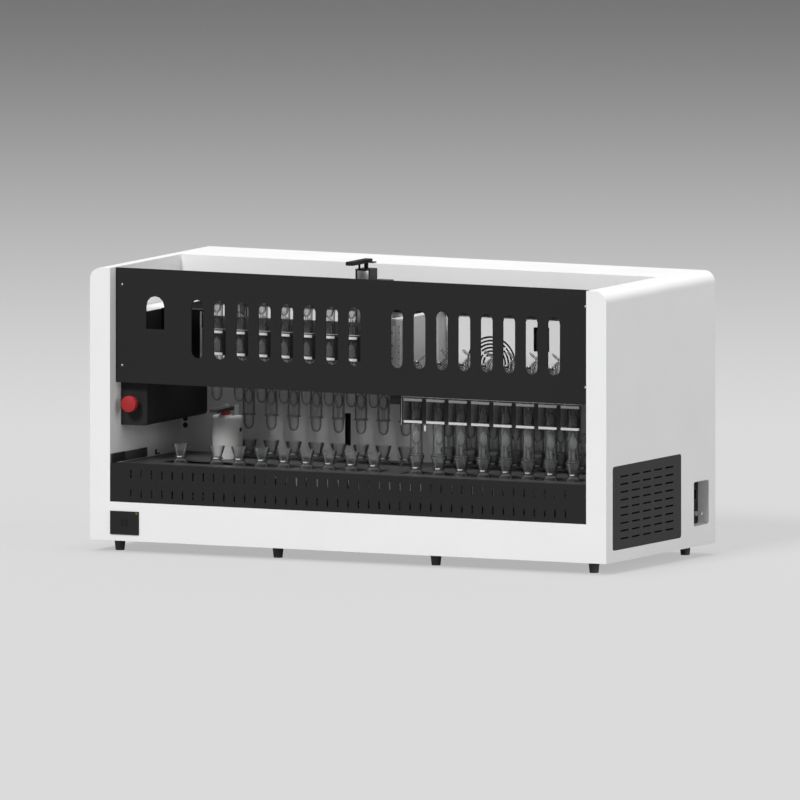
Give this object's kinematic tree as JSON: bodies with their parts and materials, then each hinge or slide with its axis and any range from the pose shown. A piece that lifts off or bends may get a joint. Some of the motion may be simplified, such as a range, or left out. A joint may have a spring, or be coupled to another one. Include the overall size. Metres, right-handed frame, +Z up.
{
  "type": "chemical oxygen demand analyzer",
  "caption": "Open-topped bench analyzer: glass condensers in rising racks over heated flasks, with a slotted dark front panel, dosing robot, press pump and emergency stop.",
  "frame": {"origin": "middle of the overall width and depth, on the surface that the feet stand on", "axes": "+X to the right as seen from the front, +Y from the front to the back, +Z up"},
  "size_m": [1.42, 0.608, 0.727],
  "materials": {
    "white_paint": "satin powder coat",
    "dark_paint": "matt powder coat",
    "grey_paint": "satin",
    "iron": "matt",
    "steel": "brushed",
    "glass": "clear",
    "acrylic": "clear acrylic",
    "black_plastic": "matt",
    "white_plastic": "gloss",
    "red_plastic": "semi gloss",
    "green_lens": "clear lens",
    "rubber": "matt"
  },
  "bodies": {
    "cabinet": {"base_pan": "grey_paint", "connection_plate": "dark_paint", "deck_plate": "grey_paint", "dosing_housing": "dark_paint", "fan_guard": "steel", "feet": "rubber", "front_left_flasks": "glass", "front_rail": "white_paint", "front_right_flasks": "glass", "heating_plates": "iron", "hose_port": "white_plastic", "left_side_housing": "white_paint", "lever_bracket": "steel", "lift_columns": "grey_paint", "lift_rails": "steel", "lower_front_panel": "dark_paint", "mains_inlet": "black_plastic", "panel_brackets": "dark_paint", "power_lamp": "green_lens", "power_panel": "dark_paint", "rear_housing": "white_paint", "rear_left_flasks": "glass", "rear_right_flasks": "glass", "right_side_housing": "white_paint", "rinse_vessel": "white_plastic", "robot_beam": "grey_paint", "side_grille": "dark_paint", "station_flask": "glass", "upper_front_panel": "dark_paint"},
    "front_left_rack": {"front_left_condensers": "glass", "front_left_rack_frame": "black_plastic", "front_left_rack_bars": "acrylic", "front_left_rack_carriages": "steel"},
    "front_right_rack": {"front_right_condensers": "glass", "front_right_rack_frame": "black_plastic", "front_right_rack_bars": "acrylic", "front_right_rack_carriages": "steel"},
    "rear_left_rack": {"rear_left_condensers": "glass", "rear_left_rack_frame": "black_plastic", "rear_left_rack_bars": "acrylic", "rear_left_rack_carriages": "steel"},
    "rear_right_rack": {"rear_right_condensers": "glass", "rear_right_rack_frame": "black_plastic", "rear_right_rack_bars": "acrylic", "rear_right_rack_carriages": "steel"},
    "stop_plunger": {"stop_stem": "black_plastic"},
    "stop_mushroom": {"stop_head": "red_plastic"},
    "power_switch": {"power_button": "black_plastic"},
    "rotor": {"fan_rotor": "black_plastic"},
    "robot": {"robot_carriage": "black_plastic", "robot_motor_cover": "black_plastic", "robot_motor": "steel", "robot_cable_bracket": "black_plastic"},
    "nozzles": {"nozzle_bar": "steel"},
    "lever": {"press_lever": "steel"},
    "plunger": {"press_plunger": "red_plastic"}
  },
  "joints": [
    {"name": "front_left_lift", "type": "slide", "parent": "cabinet", "child": "front_left_rack", "axis": [0, 0, 1], "range_m": [-0.145, 0]},
    {"name": "front_right_lift", "type": "slide", "parent": "cabinet", "child": "front_right_rack", "axis": [0, 0, 1], "range_m": [0, 0.145]},
    {"name": "rear_left_lift", "type": "slide", "parent": "cabinet", "child": "rear_left_rack", "axis": [0, 0, 1], "range_m": [-0.06, 0.085]},
    {"name": "rear_right_lift", "type": "slide", "parent": "cabinet", "child": "rear_right_rack", "axis": [0, 0, 1], "range_m": [0, 0.145]},
    {"name": "stop_press", "type": "slide", "parent": "cabinet", "child": "stop_plunger", "axis": [0, 1, 0], "range_m": [0, 0.005]},
    {"name": "stop_twist", "type": "hinge", "parent": "stop_plunger", "child": "stop_mushroom", "pos_m": [-0.618, -0.266, 0.364], "axis": [0, 1, 0], "range_deg": [0, 45], "stiffness_Nm_per_rad": 0.02},
    {"name": "power_press", "type": "slide", "parent": "cabinet", "child": "power_switch", "axis": [0, 1, 0], "range_m": [0, 0.0015], "stiffness_N_per_m": 300},
    {"name": "fan_spin", "type": "hinge", "parent": "cabinet", "child": "rotor", "pos_m": [0.199, 0.109, 0.469], "axis": [0, 1, 0], "continuous": true},
    {"name": "robot_travel", "type": "slide", "parent": "cabinet", "child": "robot", "axis": [1, 0, 0], "range_m": [-0.31, 0.065]},
    {"name": "nozzle_lift", "type": "slide", "parent": "robot", "child": "nozzles", "axis": [0, 0, 1], "range_m": [-0.115, 0]},
    {"name": "lever_press", "type": "hinge", "parent": "cabinet", "child": "lever", "pos_m": [-0.459, -0.021, 0.34], "axis": [1, 0, 0], "range_deg": [0, 6], "stiffness_Nm_per_rad": 0.4, "springref_deg": -17.19},
    {"name": "plunger_press", "type": "slide", "parent": "cabinet", "child": "plunger", "axis": [0, 0, -1], "range_m": [0, 0.005]}
  ],
  "couplings": [
    {"joint": "plunger_press", "follows": "lever_press", "m_per_rad": 0.0477}
  ]
}
